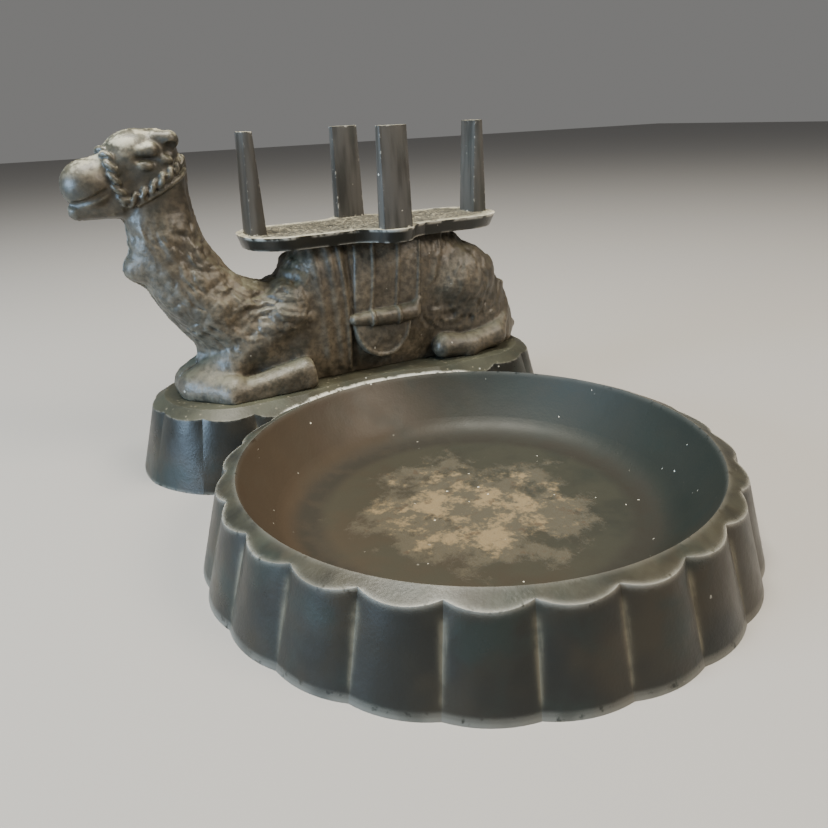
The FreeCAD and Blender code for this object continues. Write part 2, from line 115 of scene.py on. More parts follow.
def ellipsoid(p, centre, radii):
    q = [(p[i] - centre[i]) / radii[i] for i in range(3)]
    near = np.sqrt(q[0] ** 2 + q[1] ** 2 + q[2] ** 2)
    steep = np.sqrt(sum((q[i] / radii[i]) ** 2 for i in range(3)))
    return near * (near - 1) / np.maximum(steep, 1e-6)


def limb(p, start, start_r, end, end_r):
    """Tapered round limb between two balls."""
    a, b = np.array(start, float), np.array(end, float)
    d = b - a
    q = [p[i] - a[i] for i in range(3)]
    t = np.clip((q[0] * d[0] + q[1] * d[1] + q[2] * d[2]) / (d @ d), 0, 1)
    away = sum((q[i] - t * d[i]) ** 2 for i in range(3))
    return np.sqrt(away) - (start_r + (end_r - start_r) * t)


def smooth_path(points, steps):
    """Points on the curve that passes smoothly through the given stations."""
    st = np.array(points, float)
    fine = np.linspace(0, len(st) - 1, steps * (len(st) - 1) + 1)
    i = np.clip(fine.astype(int), 0, len(st) - 2)
    u = (fine - i)[:, None]
    pad = np.vstack([2 * st[0] - st[1], st, 2 * st[-1] - st[-2]])
    p0, p1, p2, p3 = pad[i], pad[i + 1], pad[i + 2], pad[i + 3]
    return 0.5 * (2 * p1 + (p2 - p0) * u + (2 * p0 - 5 * p1 + 4 * p2 - p3) * u ** 2
                  + (3 * p1 - p0 - 3 * p2 + p3) * u ** 3)


def neck(p):
    path = smooth_path(NECK, 3)
    out = None
    for a, b in zip(path[:-1], path[1:]):
        stretch = (a[2] + b[2]) / (a[3] + b[3])
        dx, dz = b[0] - a[0], b[1] - a[1]
        t = np.clip(((p[0] - a[0]) * dx + (p[2] - a[1]) * dz) / (dx * dx + dz * dz), 0, 1)
        away = (p[0] - a[0] - t * dx) ** 2 + (p[2] - a[1] - t * dz) ** 2 + (p[1] * stretch) ** 2
        d = (np.sqrt(away) - (a[2] + (b[2] - a[2]) * t)) * 0.9
        out = d if out is None else np.minimum(out, d)
    return out


def trunk(p):
    st = np.array(TRUNK, float)
    x = np.clip(p[0], st[0, 0], st[-1, 0])
    top, bottom, half = (np.interp(x, st[:, 0], st[:, k]) for k in (1, 2, 3))
    tall = (top - bottom) / 2
    q = ((np.abs(p[2] - (top + bottom) / 2) / tall) ** SQUARENESS
         + (np.abs(p[1]) / half) ** SQUARENESS)
    d = (q ** (1 / SQUARENESS) - 1) * np.minimum(tall, half)
    return np.sqrt(np.maximum(d, 0) ** 2 + (p[0] - x) ** 2) + np.minimum(d, 0)


def window(v, low, high, soft):
    """1 between low and high, fading over `soft` at either side."""
    rise = np.clip((v - low) / soft + 0.5, 0, 1)
    fall = np.clip((high - v) / soft + 0.5, 0, 1)
    return rise * rise * (3 - 2 * rise) * fall * fall * (3 - 2 * fall)


LATTICE = 32


def lattice(seed):
    return np.random.default_rng(seed).random((LATTICE, LATTICE, LATTICE)).astype(np.float32)


def noise(q, seed):
    """Smooth value noise about zero, one lattice step per unit of q."""
    grid = lattice(seed)
    base = [np.floor(c) for c in q]
    w = [c - b for c, b in zip(q, base)]
    w = [c * c * (3 - 2 * c) for c in w]
    i = [b.astype(np.int32) % LATTICE for b in base]
    j = [(b + 1) % LATTICE for b in i]
    total = -0.5
    for dx, ix in ((0, i[0]), (1, j[0])):
        for dy, iy in ((0, i[1]), (1, j[1])):
            for dz, iz in ((0, i[2]), (1, j[2])):
                weight = ((w[0] if dx else 1 - w[0]) * (w[1] if dy else 1 - w[1])
                          * (w[2] if dz else 1 - w[2]))
                total = total + weight * grid[ix, iy, iz]
    return total


def scattered(q, seed):
    """Distances to the nearest and second nearest of a set of scattered points."""
    jitter = [lattice(seed + k) for k in range(3)]
    base = [np.floor(c).astype(np.int32) for c in q]
    first = np.full(q[0].shape, 9.0, np.float32)
    second = first.copy()
    for dx in (-1, 0, 1):
        for dy in (-1, 0, 1):
            for dz in (-1, 0, 1):
                cell = [base[0] + dx, base[1] + dy, base[2] + dz]
                k = [c % LATTICE for c in cell]
                d = sum((cell[a] + jitter[a][k[0], k[1], k[2]] - q[a]) ** 2 for a in range(3))
                second = np.minimum(second, np.maximum(first, d))
                first = np.minimum(first, d)
    return np.sqrt(first), np.sqrt(second)


def face(p):
    """Head, with the eye, its lids and the ear."""
    d = ellipsoid(p, (-75.4, 0, 90.9), (8.0, 6.7, 7.2))                           # muzzle
    lip = limb(p, (-80.2, 0, 84.2), 2.5, (-69.0, 0, 86.2), 5.0)
    d = smin(d, lip, 0.5)
    d = smax(d, -cord(p, MOUTH, 1.0), 0.5)
    d = smin(d, limb(p, (-73.2, 0, 93.0), 5.0, (-65.0, 0, 96.0), 7.2), 1.2)       # bridge
    d = smin(d, ellipsoid(p, (-61.7, 0, 97.4), (9.4, 7.4, 7.9)), 1.2)             # forehead
    d = smin(d, ellipsoid(p, (-56.0, 0, 98.2), (5.8, 6.4, 6.8)), 2.0)             # poll
    d = smin(d, limb(p, (-68.0, 0, 89.5), 5.6, (-57.0, 0, 91.5), 7.2), 2.0)       # cheek
    d = smax(d, -ellipsoid(p, (-65.6, -9.0, 92.6), (3.4, 2.8, 4.6)), 1.6)         # hollow
    d = smax(d, -ellipsoid(p, (-60.0, -8.3, 97.2), (4.2, 2.4, 1.9)), 0.7)         # socket
    d = smin(d, limb(p, (-60.9, -6.1, 99.3), 1.5, (-58.2, -6.4, 99.6), 1.9), 0.9)
    d = smin(d, ellipsoid(p, (-60.6, -6.5, 95.3), (2.5, 1.5, 1.5)), 0.4)          # eye
    d = smin(d, ellipsoid(p, (-55.0, -5.9, 96.7), (2.3, 1.6, 1.6)), 0.5)
    d = smin(d, limb(p, (-56.2, -3.8, 102.6), 1.9, (-52.8, -4.7, 101.9), 2.7), 0.9)
    return smax(d, -ellipsoid(p, (-52.7, -6.8, 99.3), (2.4, 2.0, 2.3)), 0.6)      # ear cup


def face_and_neck(p):
    return smin(face(p), neck(p), 1.8)


def snap(points, lift):
    """Move rough points onto the skin of the head and neck, `lift` above it."""
    p = np.array(points, float)
    nudge = 0.05
    for _ in range(12):
        gap = face_and_neck(p.T) - lift
        slope = np.stack([face_and_neck((p + e).T) - face_and_neck((p - e).T)
                          for e in np.eye(3) * nudge], 1) / (2 * nudge)
        slope[np.abs(p[:, 1]) < nudge, 1] = 0
        p = p - 0.8 * gap[:, None] * slope / np.maximum((slope ** 2).sum(1, keepdims=True), nudge)
    return p


def cord(p, points, radius, pitch=None):
    """Cord through the points; with a pitch it is two strands laid round each other."""
    path = smooth_path(points, 5)
    side = np.array((1.0, 0.0, 0.3))
    run = 0.0
    out = None
    for a, b in zip(path[:-1], path[1:]):
        length = np.linalg.norm(b - a)
        ahead = (b - a) / length
        side = side - (side @ ahead) * ahead
        side /= np.linalg.norm(side)
        lift = np.cross(side, ahead)
        q = [p[i] - a[i] for i in range(3)]
        t = np.clip(sum(q[i] * ahead[i] for i in range(3)) / length, 0, 1)
        r = [q[i] - t * (b[i] - a[i]) for i in range(3)]
        if pitch is None:
            d = np.sqrt(sum(c * c for c in r)) - radius
        else:
            u, v, w = (sum(r[i] * axis[i] for i in range(3)) for axis in (side, lift, ahead))
            turn = 2 * math.pi * (run + t * length) / pitch
            cu, cv = 0.5 * radius * np.cos(turn), 0.5 * radius * np.sin(turn)
            d = np.minimum((u - cu) ** 2 + (v - cv) ** 2, (u + cu) ** 2 + (v + cv) ** 2)
            d = np.sqrt(d + w * w) - 0.62 * radius
        run += length
        out = d if out is None else np.minimum(out, d)
    return out


class Block:
    """A box of space sampled at even steps, holding the figure's distance field."""

    def __init__(self, low, high, step):
        self.low, self.step = np.array(low, float), step
        self.axes = [np.arange(a, b + step, step, dtype=np.float32) for a, b in zip(low, high)]
        self.d = np.full([len(a) for a in self.axes], 50.0, np.float32)

    def part(self, low, high):
        cut = tuple(slice(*np.searchsorted(a, (l, h))) for a, l, h in zip(self.axes, low, high))
        x, y, z = (a[c] for a, c in zip(self.axes, cut))
        return cut, (x[:, None, None], y[None, :, None], z[None, None, :])

    def add(self, form, low, high, blend):
        cut, p = self.part(low, high)
        self.d[cut] = smin(self.d[cut], form(p), blend)

    def raise_by(self, height, low, high):
        cut, p = self.part(low, high)
        self.d[cut] -= height(p)

    def near_skin(self, low, high, reach):
        """Indices and points within `reach` of the surface in part of the block."""
        cut, _ = self.part(low, high)
        idx = np.argwhere(np.abs(self.d[cut]) < reach) + [c.start for c in cut]
        return tuple(idx.T), [self.axes[k][idx[:, k]] for k in range(3)]


# ---- the camel --------------------------------------------------------------------------
def forearm(p):
    d = limb(p, (-54.9, -2.4, 27.4), 5.6, (-43, -5.0, 33.5), 6.8)
    d = smin(d, ellipsoid(p, (-54.4, 0, 26.2), (6.2, 7.0, 5.6)), 2.0)
    return smin(d, limb(p, (-55.0, -4.5, 27.0), 5.4, (-46, -13.4, 26.4), 5.6), 3.0)


def foreleg(p):
    d = limb(p, (-46, -14.6, 25.0), 4.9, (-22.5, -14.8, 28.6), 5.4)
    d = smax(d, -19.2 - p[1], 0.6)
    return smax(d, p[0] + 20.0 + 0.12 * (p[2] - 28), 0.7)


def hind_foot(p):
    d = limb(p, (30.0, -13.8, 28.8), 4.7, (40, -14.8, 27.6), 4.0)
    d = smin(d, limb(p, (40, -14.6, 27.6), 4.0, (51, -12.8, 29.4), 4.7), 2.0)
    return smin(d, limb(p, (51, -12.6, 29.4), 4.4, (56.0, -10.4, 34.4), 2.8), 1.5)


def shoulder(p):
    return limb(p, (-43, -7.3, 34.5), 5.6, (-24, -7.0, 49.0), 8.6)


def haunch(p):
    return ellipsoid(p, (40, -6.4, 50.5), (14.8, 10.4, 12.6))


def throat_lump(p):
    return ellipsoid(p, (-66.0, 0, 66.2), (4.9, 4.2, 4.3))


def masses(block):
    """Smooth bulk of the body and the folded legs."""
    block.add(trunk, (-60, -22, 20), (70, 2, 90), 0.01)
    block.add(neck, (-75, -22, 25), (-15, 2, 104), 4.5)
    block.add(shoulder, (-66, -22, 20), (-6, 2, 64), 1.6)
    block.add(haunch, (16, -22, 30), (66, 2, 70), 1.6)
    block.add(forearm, (-70, -22, 20), (-34, 2, 50), 1.6)
    block.add(foreleg, (-60, -22, 20), (-15, 2, 40), 0.9)
    block.add(hind_foot, (14, -22, 20), (64, 2, 42), 0.7)
    block.add(throat_lump, (-76, -12, 56), (-54, 2, 82), 2.6)


def hair(block, seed):
    """Shaggy locks that follow the neck, a softer coat on the haunch, and casting unevenness."""
    idx, p = block.near_skin((-80, -22, 24), (70, 2, 92), 2.5)
    x, y, z = p
    warp = noise([c / 7.0 for c in p], seed + 7)
    fine_warp = noise([c / 3.0 for c in p], seed + 8)
    along = 27.0 * np.arctan2(x - SWIRL[0], SWIRL[1] - z) + 3.0 * warp
    across = np.hypot(x - SWIRL[0], z - SWIRL[1]) + 5.0 * warp + 1.2 * fine_warp
    first, second = scattered([along / 6.0, y / 5.0, across / 3.8], seed + 11)
    lock = np.clip((second - first) * 1.5, 0, 1) ** 0.6 - 0.6
    tuft = noise([along / 5.2, y / 3.8, across / 3.2], seed + 15)
    wisp = noise([along / 2.4, y / 1.7, across / 1.15], seed + 17)
    knob = noise([x / 1.7, y / 2.0, z / 2.2], seed + 23)
    shaggy = window(x, -80, SHAGGY_END_X, 4) * window(z, 20, SHAGGY_TOP_Z, 7)
    shaggy *= window(z - 0.2 * (x + 50), 38, 200, 4)          # smooth below, on the forelegs
    shaggy *= np.clip((np.hypot(x + 67, z - 67.5) - 4.5) / 4.0, 0, 1)
    coat = window(x, 25, 70, 3) * window(z, 36, 90, 3)
    fringe = window(x, 21, 52, 3) * window(z, 36.5, 43.5, 3)
    relief = shaggy * (0.45 * lock + 1.5 * tuft + 0.62 * wisp)
    relief += coat * (0.28 * lock + 0.55 * tuft + 0.55 * wisp)
    relief += 1.5 * fringe * knob
    relief *= np.clip(-y / 2.5, 0, 1)
    relief += (0.22 * noise([c / 1.9 for c in p], seed + 3)
               + 0.6 * noise([c / 5.5 for c in p], seed + 5))
    block.d[idx] -= relief.astype(np.float32)


def folds(p):
    """Two soft folds of the girth and the narrow one beside the cloth."""
    total = -0.35
    for top, foot, wide in FOLDS:
        middle = foot + (top - foot) * (p[2] - 28) / 37
        total = total + np.exp(-((p[0] - middle) / wide) ** 2)
    valley = 0.9 * np.exp(-((p[0] + 3.9) / 0.9) ** 2)
    return 0.7 * (total - valley) * window(p[2], 26, 90, 4) * window(p[0], -19, -2.0, 3)


def cloth(p):
    x = p[0] + CLOTH_LEAN * (65 - p[2])
    straps = sum(window(x, s - 0.55, s + 0.55, 0.5) for s in CLOTH_STRAPS)
    return (0.45 * window(x, CLOTH[0], CLOTH[1], 0.5) + 0.40 * straps) \
        * window(p[2], CLOTH_FOOT_Z, CLOTH_TOP_Z, 0.8)


def flap(p):
    r = np.hypot(p[0] - FLAP[0], 0.87 * (p[2] - FLAP[1]))
    rim = 0.4 * window(r, FLAP[2] - 1.3, FLAP[2], 0.6)
    hang = 1.6 + 0.16 * (FLAP[1] - p[2])
    return (hang * window(r, -1, FLAP[2], 0.5) + rim) * window(p[2], 20, FLAP[1] + 1, 0.6)


def roll(p):
    d = limb(p, (-3.6, -14.6, 43.4), 1.8, (5, -14.8, 43.2), 2.8)
    d = np.minimum(d, limb(p, (5, -14.8, 43.2), 2.8, (17.8, -14.7, 43.4), 2.8))
    d = smin(d, limb(p, (17.8, -14.7, 43.4), 2.6, (20.3, -14.2, 47.0), 1.2), 0.8)
    for strap in (2.2, 11.5):
        d = d - 0.45 * window(p[0], strap - 0.6, strap + 0.6, 0.5)
    return d


def camel_field(seed):
    block = Block((-86, -22.0, PAD_Z - 1.2), (69, 1.2, 108), FINE)
    masses(block)
    block.raise_by(folds, (-24, -22, 22), (0, -3, 90))
    block.raise_by(cloth, (-9, -22, 40), (28, -3, 90))
    block.raise_by(flap, (-8, -22, 25), (22, -3, 44))
    block.add(roll, (-9, -22, 36), (26, -6, 54), 0.4)
    hair(block, seed)
    outer_tail = [(x + 2.4, y + 2.2, z - 0.8) for x, y, z in TAIL]
    block.add(lambda p: cord(p, TAIL, 1.3), (44, -22, 26), (66, 2, 58), 0.8)
    block.add(lambda p: cord(p, outer_tail, 1.1), (44, -22, 26), (68, 2, 58), 0.8)
    block.add(face, (-86, -12, 76), (-44, 2, 108), 1.8)
    block.add(lambda p: cord(p, MANE, 1.7), (-54, -5, 50), (-26, 2, 100), 0.8)
    for points, radius, pitch in HALTER:
        laid = snap(points, -0.15 * radius)
        block.add(lambda p: cord(p, laid, radius, pitch), (-76, -14, 78), (-42, 2, 104), 0.25)
    laid = snap(CHEEK_STRAP, 0.25)
    block.add(lambda p: cord(p, laid, 0.75), (-70, -14, 80), (-42, 2, 98), 0.2)

    # the mould's parting line, then the flat faces at the median, the pad and the tray
    _, (x, y, z) = block.part((-90, -30, 0), (90, 30, 200))
    block.d = smin(block.d, smax(block.d - SEAM_RIDGE, np.abs(y) - 0.4, 0.3), 0.3)
    for plane in (y, PAD_Z - z, np.minimum(z - SEAT_Z, x + 40)):
        block.d = np.maximum(block.d, plane)
    return block


def skin(name, block, mirror):
    """Mesh of the field's surface, in metres, on one side of the median plane."""
    grid = openvdb.FloatGrid(FIELD_REACH)
    grid.copyFromArray(np.ascontiguousarray(np.clip(block.d, -FIELD_REACH, FIELD_REACH),
                                            dtype=np.float32))
    points, _, quads = grid.convertToPolygons(isovalue=0.0, adaptivity=0.0)
    points = points * block.step + block.low
    points[:, 1] = np.minimum(points[:, 1], 0) * (-1 if mirror else 1)
    a, b, c, d = (points[quads[:, k]] for k in range(4))
    volume = (np.cross(c - a, d - b) * (a + b + c + d)).sum()
    if volume < 0:
        quads = quads[:, ::-1]
    mesh = bpy.data.meshes.new(name)
    mesh.from_pydata((points * MM + np.array(ORIGIN)).tolist(), [], quads.tolist())
    mesh.update()
    mesh.shade_smooth()
    piece = bpy.data.objects.new(name, mesh)
    bpy.context.scene.collection.objects.link(piece)
    print(name, len(quads), "faces", points.min(0), points.max(0))
    return piece


# ---- paint -----------------------------------------------------------------------------------
class Finish:
    """One material, wired node by node. Lengths are in metres, as the object coordinates are."""

    def __init__(self, name):
        self.material = bpy.data.materials.new(name)
        self.material.use_nodes = True
        self.tree = self.material.node_tree
        self.shader = self.tree.nodes["Principled BSDF"]
        self.place = self.add("ShaderNodeTexCoord").outputs["Object"]
        self.normal = self.add("ShaderNodeNewGeometry").outputs["Normal"]

    def add(self, kind, inputs=(), **settings):
        node = self.tree.nodes.new(kind)
        for key, value in settings.items():
            setattr(node, key, value)
        for key, value in dict(inputs).items():
            self.feed(node.inputs[key], value)
        return node

    def feed(self, socket, value):
        if isinstance(value, bpy.types.NodeSocket):
            self.tree.links.new(value, socket)
        else:
            socket.default_value = value

    def math(self, operation, a, b=0.0):
        return self.add("ShaderNodeMath", {0: a, 1: b}, operation=operation).outputs[0]

    def times(self, *factors):
        out = factors[0]
        for factor in factors[1:]:
            out = self.math("MULTIPLY", out, factor)
        return out

    def ramp(self, value, low, high, start=0.0, end=1.0):
        """`start` up to low and `end` from high on, with a smooth step between."""
        node = self.add("ShaderNodeMapRange", {"Value": value, "From Min": low, "From Max": high,
                                               "To Min": start, "To Max": end},
                        interpolation_type="SMOOTHSTEP")
        return node.outputs["Result"]

    def moved(self, offset, stretch=(1, 1, 1)):
        return self.add("ShaderNodeMapping", {"Vector": self.place, "Location": offset,
                                              "Scale": stretch}).outputs[0]

    def noise(self, size, detail=3.0, rough=0.55, at=None):
        """Cloudy value about 0.5 with features of the given size, metres."""
        node = self.add("ShaderNodeTexNoise", {"Vector": at or self.place, "Scale": 1 / size,
                                               "Detail": detail, "Roughness": rough})
        return node.outputs[0]

    def specks(self, size, share, radius, at=None):
        """Small ragged spots of uneven strength, in `share` of the cells of the given size."""
        shake = self.add("ShaderNodeTexNoise", {"Vector": self.place, "Scale": 1 / (size * 0.35),
                                                "Detail": 2.0}).outputs["Color"]
        shake = self.add("ShaderNodeVectorMath", {0: shake, 3: size * 0.35},
                         operation="SCALE").outputs[0]
        ragged = self.add("ShaderNodeVectorMath", {0: at or self.place, 1: shake}).outputs[0]
        cell = self.add("ShaderNodeTexVoronoi", {"Vector": ragged, "Scale": 1 / size})
        chosen = self.add("ShaderNodeSeparateColor", {0: cell.outputs["Color"]}).outputs
        spread = self.ramp(chosen[1], 0.0, 1.0, radius * 0.4, radius)
        near = self.math("LESS_THAN", cell.outputs["Distance"], spread)
        return self.times(near, self.math("LESS_THAN", chosen[0], share),
                          self.ramp(chosen[2], 0.0, 1.0, 0.35, 1.0))

    def edge(self, width, inside=True):
        """1 at outer edges, or at inner corners, and 0 on open faces."""
        open_sky = self.add("ShaderNodeAmbientOcclusion", {"Distance": width},
                            samples=12, only_local=True, inside=inside).outputs["AO"]
        return self.ramp(open_sky, 0.45, 0.95, 1.0, 0.0)

    def crease(self, radius, low, high):
        """1 along any sharp line of the surface, hollow or raised."""
        eased = self.add("ShaderNodeBevel", {"Radius": radius}, samples=8).outputs[0]
        turn = self.add("ShaderNodeVectorMath", {0: eased, 1: self.normal}, operation="DOT_PRODUCT")
        return self.ramp(turn.outputs["Value"], low, high, 1.0, 0.0)

    def part(self, vector, axis):
        return self.add("ShaderNodeSeparateXYZ", {0: vector}).outputs[axis]

    def up(self, low, high):
        return self.ramp(self.part(self.normal, "Z"), low, high)

    def mix(self, factor, under, over):
        node = self.add("ShaderNodeMix", {0: factor, 6: under, 7: over}, data_type="RGBA")
        return node.outputs[2]

    def blend(self, factor, under, over):
        return self.add("ShaderNodeMix", {0: factor, 2: under, 3: over}, data_type="FLOAT").outputs[0]

    def wrap_up(self, colour, roughness, height, depth, gloss=0.5):
        self.feed(self.shader.inputs["Base Color"], colour)
        self.feed(self.shader.inputs["Roughness"], roughness)
        self.shader.inputs["Specular IOR Level"].default_value = gloss
        bump = self.add("ShaderNodeBump", {"Height": height, "Strength": 1.0, "Distance": depth})
        self.feed(self.shader.inputs["Normal"], bump.outputs[0])
        return self.material


# Paint, dust and stains, as linear colours; some of them are also laid as painted light and shade.
BLACK = (0.014, 0.0145, 0.0125, 1)
BROWN_BLACK = (0.027, 0.023, 0.016, 1)
GREEN_BLACK = (0.016, 0.021, 0.018, 1)
PALE_DUST_AND_HIGHLIGHT = (0.17, 0.155, 0.11, 1)
GREEN_DUST = (0.105, 0.105, 0.07, 1)
HAIR_DUST = (0.155, 0.128, 0.088, 1)
BARE = (0.74, 0.72, 0.63, 1)
CREAM = (0.56, 0.53, 0.40, 1)
ASH = (0.215, 0.162, 0.090, 1)
ASH_GREY = (0.080, 0.071, 0.050, 1)
TAR_AND_PAINTED_LIGHT = (0.062, 0.044, 0.028, 1)
OLIVE = (0.034, 0.034, 0.024, 1)
SAND = (0.34, 0.31, 0.22, 1)
SOOT_AND_SHADE = (0.022, 0.020, 0.015, 1)
POST_FILM_AND_SHEEN = (0.105, 0.100, 0.092, 1)

# Zones of the castings, metres: distances from the dish's middle and levels above the table.
BOWL_EDGE = (0.0615, 0.0625)              # the bowl's wall gives way to the rim band
RIM_EDGE = (0.0632, 0.0650)               # the band's outer part, towards the scallops
SIDE_EDGE = (0.064, 0.066)                # inside this there are no flutes
FLOOR_EDGE = (0.040, 0.050)               # the bowl's floor turns up into the wall
# painted shade: a dark ring where the bowl's floor turns up into the wall
FLOOR_SHADE_RING = ((0.039, 0.044), (0.046, 0.052))    # dark ring in that turn: inner and outer fade
FLUTE_FOOT_Z = (0.0015, 0.0050)           # flutes show dust between these two levels
FLUTE_TOP_Z = (0.0170, 0.0210)
FOOT_Z = (0.0010, 0.0030)                 # the foot's edge wears less than what is above it
SATIN = 0.28                              # reflection of the castings' dull paint


def paint(finish):
    """Black paint with soft brown and green patches: colour and roughness."""
    colour = finish.mix(finish.ramp(finish.noise(0.030), 0.42, 0.62), BLACK, BROWN_BLACK)
    colour = finish.mix(finish.ramp(finish.noise(0.013, at=finish.moved((3, 1, 2))), 0.45, 0.7),
                        colour, GREEN_BLACK)
    roughness = finish.ramp(finish.noise(0.010, 4.0), 0.3, 0.7, 0.27, 0.42)
    return colour, roughness


def lay(finish, state, factor, colour, roughness):
    return (finish.mix(factor, state[0], colour), finish.blend(factor, state[1], roughness))


def worn(finish, width, low, high, grain=0.0022):
    """Convex edges where the paint has rubbed through, in an uneven line."""
    patchy = finish.ramp(finish.noise(grain, 3.0, at=finish.moved((0.5, 0.2, 0.9))), low, high)
    return finish.times(finish.edge(width), patchy)


def chips(finish, share=0.05):
    """Scattered nicks in the paint, more of them where the noise runs high."""
    large = finish.specks(0.0052, share, 0.13, finish.moved((0.3, 0.7, 0.1)))
    small = finish.specks(0.0016, share * 1.6, 0.22)
    crowd = finish.ramp(finish.noise(0.012, 3.0, at=finish.moved((2, 0, 1))), 0.48, 0.62)
    return finish.math("MAXIMUM", large, finish.times(small, crowd))


def flute_dust(finish, z):
    """Pale dust along the valleys between the flutes."""
    flank = finish.times(finish.ramp(z, *FLUTE_FOOT_Z), finish.ramp(z, *FLUTE_TOP_Z, 1.0, 0.0))
    patchy = finish.ramp(finish.noise(0.005), 0.35, 0.6, 0.25, 0.7)
    return finish.times(finish.crease(0.0030, 0.970, 0.9996), patchy, flank)


def fine_relief(finish):
    grain = finish.times(finish.noise(0.0007, 2.0), 0.35)
    return finish.math("ADD", grain, finish.noise(0.0055, 3.0))


def dish_paint():
    f = Finish("dish_black_paint")
    centred = f.moved((-DISH.x, -DISH.y, 0))
    flat = f.add("ShaderNodeVectorMath", {0: centred, 1: (1, 1, 0)},
                 operation="MULTIPLY").outputs[0]
    radius = f.add("ShaderNodeVectorMath", {0: flat}, operation="LENGTH").outputs["Value"]
    facing_up = f.up(0.05, 0.3)
    bowl = f.times(f.ramp(radius, *BOWL_EDGE, 1.0, 0.0), facing_up)
    rim = f.times(f.ramp(radius, *BOWL_EDGE), f.up(0.6, 0.85))
    floor = f.times(f.ramp(radius, *FLOOR_EDGE, 1.0, 0.0), facing_up)
    side = f.part(centred, "X")

    state = paint(f)
    outer = f.ramp(radius, *SIDE_EDGE)
    z = f.part(f.place, "Z")
    state = lay(f, state, f.times(flute_dust(f, z), outer), PALE_DUST_AND_HIGHLIGHT, 0.6)
    state = lay(f, state, f.times(rim, f.ramp(f.noise(0.008), 0.3, 0.7, 0.04, 0.24)),
                GREEN_DUST, 0.66)
    # painted light and shade on the bowl's wall: brown towards -x for its lit side, green-black
    # towards +x for its shaded side
    state = lay(f, state, f.times(bowl, f.ramp(side, -0.055, 0.045, 0.75, 0.1)), TAR_AND_PAINTED_LIGHT, 0.60)
    state = lay(f, state, f.times(bowl, f.ramp(side, -0.010, 0.050, 0.0, 0.8)), GREEN_BLACK, 0.55)
    state = lay(f, state, f.times(floor, f.ramp(f.noise(0.011, 4.0), 0.35, 0.6, 0.35, 0.75)),
                OLIVE, 0.62)
    # painted shade: a dark band in the turn between the bowl's floor and its wall
    ring = f.times(f.ramp(radius, *FLOOR_SHADE_RING[0]), f.ramp(radius, *FLOOR_SHADE_RING[1], 1.0, 0.0),
                   facing_up)
    state = lay(f, state, f.times(ring, f.ramp(f.noise(0.007), 0.3, 0.6, 0.5, 0.95)), SOOT_AND_SHADE, 0.72)
    # the caked patch in the middle of the floor
    crust = f.math("SUBTRACT", f.noise(0.014, 9.0, 0.68, f.moved((0.2, 0.1, 0))),
                   f.ramp(radius, 0.020, 0.046, 0.0, 0.26))
    caked = f.times(f.ramp(crust, 0.38, 0.50), floor)
    state = lay(f, state, f.times(caked, 0.75), ASH_GREY, 0.85)
    dry = f.math("SUBTRACT", f.noise(0.0085, 10.0, 0.76, f.moved((0.7, 0.3, 0))),
                 f.ramp(radius, 0.006, 0.042, 0.0, 0.17))
    pale = f.times(caked, f.ramp(dry, 0.43, 0.54))
    state = lay(f, state, f.times(pale, 0.85), ASH, 0.9)
    pits = f.times(caked, f.ramp(f.noise(0.0045, 6.0, 0.65, f.moved((0.4, 0.9, 0))), 0.56, 0.66))
    state = lay(f, state, f.times(pits, 0.7), TAR_AND_PAINTED_LIGHT, 0.8)
    blotch = f.specks(0.014, 0.15, 0.080, f.moved((0.9, 0.2, 0.6)))
    state = lay(f, state, f.times(blotch, outer, 0.8), BARE, 0.6)
    crumbs = f.specks(0.0022, 0.070, 0.15, f.moved((0.1, 0.4, 0)))
    state = lay(f, state, f.times(crumbs, bowl, f.ramp(f.noise(0.016), 0.42, 0.6)), BARE, 0.7)
    state = lay(f, state, chips(f, 0.016), BARE, 0.5)
    # the paint is rubbed through along the scallops, and here and there at the lip and the foot; the
    # pale line along the scallops is also a painted highlight
    lip = f.times(f.ramp(radius, *RIM_EDGE, 0.08, 1.0),
                  f.ramp(f.noise(0.012, 2.0, 0.5, f.moved((0.4, 0.6, 0))), 0.34, 0.52, 0.55, 1.0))
    foot = f.ramp(z, *FOOT_Z, 0.15, 1.0)
    state = lay(f, state, f.times(worn(f, 0.0023, 0.28, 0.42), lip, foot), BARE, 0.36)
    height = f.math("ADD", fine_relief(f), f.times(caked, f.noise(0.0016, 5.0, 0.7), 4.0))
    return f.wrap_up(*state, height, 0.00010, SATIN)


def plinth_paint():
    f = Finish("plinth_black_paint")
    state = paint(f)
    z = f.part(f.place, "Z")
    state = lay(f, state, flute_dust(f, z), PALE_DUST_AND_HIGHLIGHT, 0.6)
    top = f.times(f.up(0.7, 0.95), f.ramp(f.noise(0.012, 4.0), 0.3, 0.7, 0.25, 0.6))
    state = lay(f, state, top, GREEN_DUST, 0.55)
    grains = f.times(f.specks(0.0013, 0.30, 0.30), f.up(0.7, 0.95))
    state = lay(f, state, grains, PALE_DUST_AND_HIGHLIGHT, 0.8)
    state = lay(f, state, chips(f, 0.016), BARE, 0.5)
    foot = f.ramp(z, *FOOT_Z, 0.15, 1.0)
    state = lay(f, state, f.times(worn(f, 0.0013, 0.36, 0.52), foot, 0.7), BARE, 0.42)
    return f.wrap_up(*state, fine_relief(f), 0.00010, SATIN)


